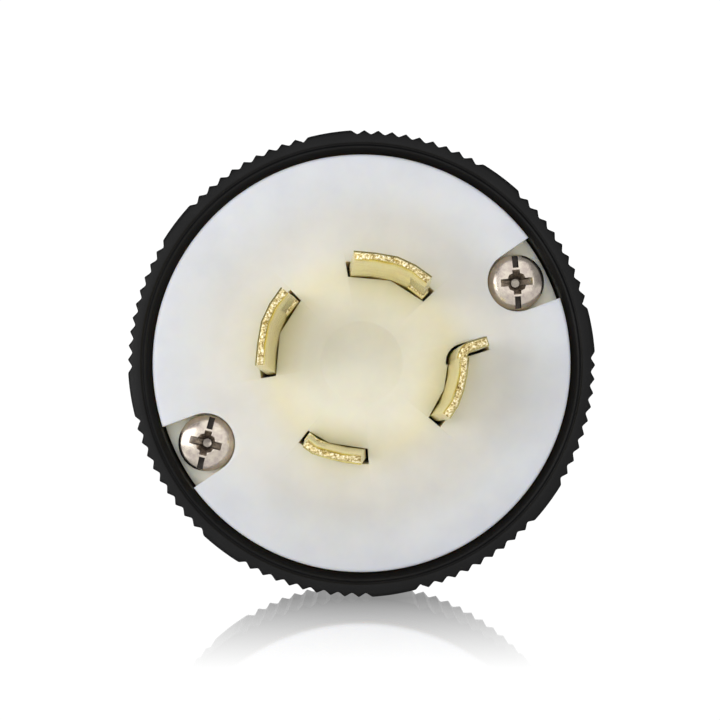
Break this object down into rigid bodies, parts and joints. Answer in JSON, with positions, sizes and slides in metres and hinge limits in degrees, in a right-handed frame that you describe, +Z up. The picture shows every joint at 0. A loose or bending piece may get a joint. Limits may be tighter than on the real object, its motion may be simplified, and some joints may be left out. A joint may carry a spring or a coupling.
{
  "type": "locking plug",
  "caption": "Round twist-to-lock cord plug: knurled black collar and shell, white face, curved brass blades, hooked ground blade, screw terminals and cord clamp.",
  "frame": {"origin": "centre of the mating face, on the plug's axis", "axes": "plug axis along Y: blades point to -Y and the cord leaves to +Y; +Z up and +X right as seen from the blade side, with the ground blade 18 degrees below +X"},
  "size_m": [0.058, 0.0823, 0.058],
  "materials": {
    "black_nylon": "fine-grained moulded nylon, matt",
    "white_nylon": "translucent natural nylon, satin",
    "grey_resin": "moulded resin, matt",
    "blade_brass": "stamped strip, bright, sheared edges",
    "turned_brass": "turned and stamped brass",
    "nickel_screw": "nickel plate, satin",
    "zinc_screw": "bright zinc plate",
    "green_screw": "green-dyed plating"
  },
  "bodies": {
    "housing": {"housing": "black_nylon", "screw_inserts": "turned_brass", "clamp_nuts": "zinc_screw"},
    "front_unit": {"front_body": "white_nylon", "contact_retainer": "grey_resin", "retainer_screw": "nickel_screw", "line_blade_x": "blade_brass", "line_blade_y": "blade_brass", "line_blade_z": "blade_brass", "ground_blade": "blade_brass"},
    "assembly_screw_1": {"assembly_screw_1": "nickel_screw"},
    "assembly_screw_2": {"assembly_screw_2": "nickel_screw"},
    "terminal_screw_x": {"terminal_screw_x": "turned_brass"},
    "clamp_plate_x": {"clamp_plate_x": "turned_brass"},
    "terminal_screw_y": {"terminal_screw_y": "turned_brass"},
    "clamp_plate_y": {"clamp_plate_y": "turned_brass"},
    "terminal_screw_z": {"terminal_screw_z": "turned_brass"},
    "clamp_plate_z": {"clamp_plate_z": "turned_brass"},
    "ground_screw": {"ground_screw": "green_screw"},
    "clamp_plate_ground": {"clamp_plate_ground": "turned_brass"},
    "clamp_jaw": {"clamp_jaw": "black_nylon"},
    "clamp_screw_1": {"clamp_screw_1": "zinc_screw"},
    "clamp_screw_2": {"clamp_screw_2": "zinc_screw"}
  },
  "joints": [
    {"name": "front_unit_slide", "type": "slide", "parent": "housing", "child": "front_unit", "axis": [0, -1, 0], "range_m": [0, 0.04]},
    {"name": "assembly_screw_1_turn", "type": "hinge", "parent": "front_unit", "child": "assembly_screw_1", "pos_m": [0.01935, 0, 0.01003], "axis": [0, -1, 0], "range_deg": [0, 3600]},
    {"name": "assembly_screw_2_turn", "type": "hinge", "parent": "front_unit", "child": "assembly_screw_2", "pos_m": [-0.01935, 0, -0.01003], "axis": [0, -1, 0], "range_deg": [0, 3600]},
    {"name": "terminal_screw_x_turn", "type": "hinge", "parent": "front_unit", "child": "terminal_screw_x", "pos_m": [0.00482, 0.022, 0.01484], "axis": [0.309, 0, 0.9511], "range_deg": [-1590, 0]},
    {"name": "clamp_plate_x_slide", "type": "slide", "parent": "front_unit", "child": "clamp_plate_x", "axis": [0.309, 0, 0.9511], "range_m": [0, 0.0035]},
    {"name": "terminal_screw_y_turn", "type": "hinge", "parent": "front_unit", "child": "terminal_screw_y", "pos_m": [-0.01484, 0.022, 0.00482], "axis": [-0.9511, 0, 0.309], "range_deg": [-1590, 0]},
    {"name": "clamp_plate_y_slide", "type": "slide", "parent": "front_unit", "child": "clamp_plate_y", "axis": [-0.9511, 0, 0.309], "range_m": [0, 0.0035]},
    {"name": "terminal_screw_z_turn", "type": "hinge", "parent": "front_unit", "child": "terminal_screw_z", "pos_m": [-0.00482, 0.022, -0.01484], "axis": [-0.309, 0, -0.9511], "range_deg": [-1590, 0]},
    {"name": "clamp_plate_z_slide", "type": "slide", "parent": "front_unit", "child": "clamp_plate_z", "axis": [-0.309, 0, -0.9511], "range_m": [0, 0.0035]},
    {"name": "ground_screw_turn", "type": "hinge", "parent": "front_unit", "child": "ground_screw", "pos_m": [0.01484, 0.022, -0.00482], "axis": [0.9511, 0, -0.309], "range_deg": [-1590, 0]},
    {"name": "clamp_plate_ground_slide", "type": "slide", "parent": "front_unit", "child": "clamp_plate_ground", "axis": [0.9511, 0, -0.309], "range_m": [0, 0.0035]},
    {"name": "clamp_jaw_slide", "type": "slide", "parent": "housing", "child": "clamp_jaw", "axis": [0, 0, 1], "range_m": [-0.01, 0]},
    {"name": "clamp_screw_1_turn", "type": "hinge", "parent": "clamp_jaw", "child": "clamp_screw_1", "pos_m": [-0.0147, 0.0565, 0.0158], "axis": [0, 0, 1], "range_deg": [-4538, 0]},
    {"name": "clamp_screw_2_turn", "type": "hinge", "parent": "clamp_jaw", "child": "clamp_screw_2", "pos_m": [0.0147, 0.0565, 0.0158], "axis": [0, 0, 1], "range_deg": [-4538, 0]}
  ],
  "couplings": [
    {"joint": "terminal_screw_x_turn", "follows": "clamp_plate_x_slide", "rad_per_m": -7913.3},
    {"joint": "terminal_screw_y_turn", "follows": "clamp_plate_y_slide", "rad_per_m": -7913.3},
    {"joint": "terminal_screw_z_turn", "follows": "clamp_plate_z_slide", "rad_per_m": -7913.3},
    {"joint": "ground_screw_turn", "follows": "clamp_plate_ground_slide", "rad_per_m": -7913.3},
    {"joint": "clamp_screw_1_turn", "follows": "clamp_jaw_slide", "rad_per_m": 7913.3},
    {"joint": "clamp_screw_2_turn", "follows": "clamp_jaw_slide", "rad_per_m": 7913.3}
  ]
}
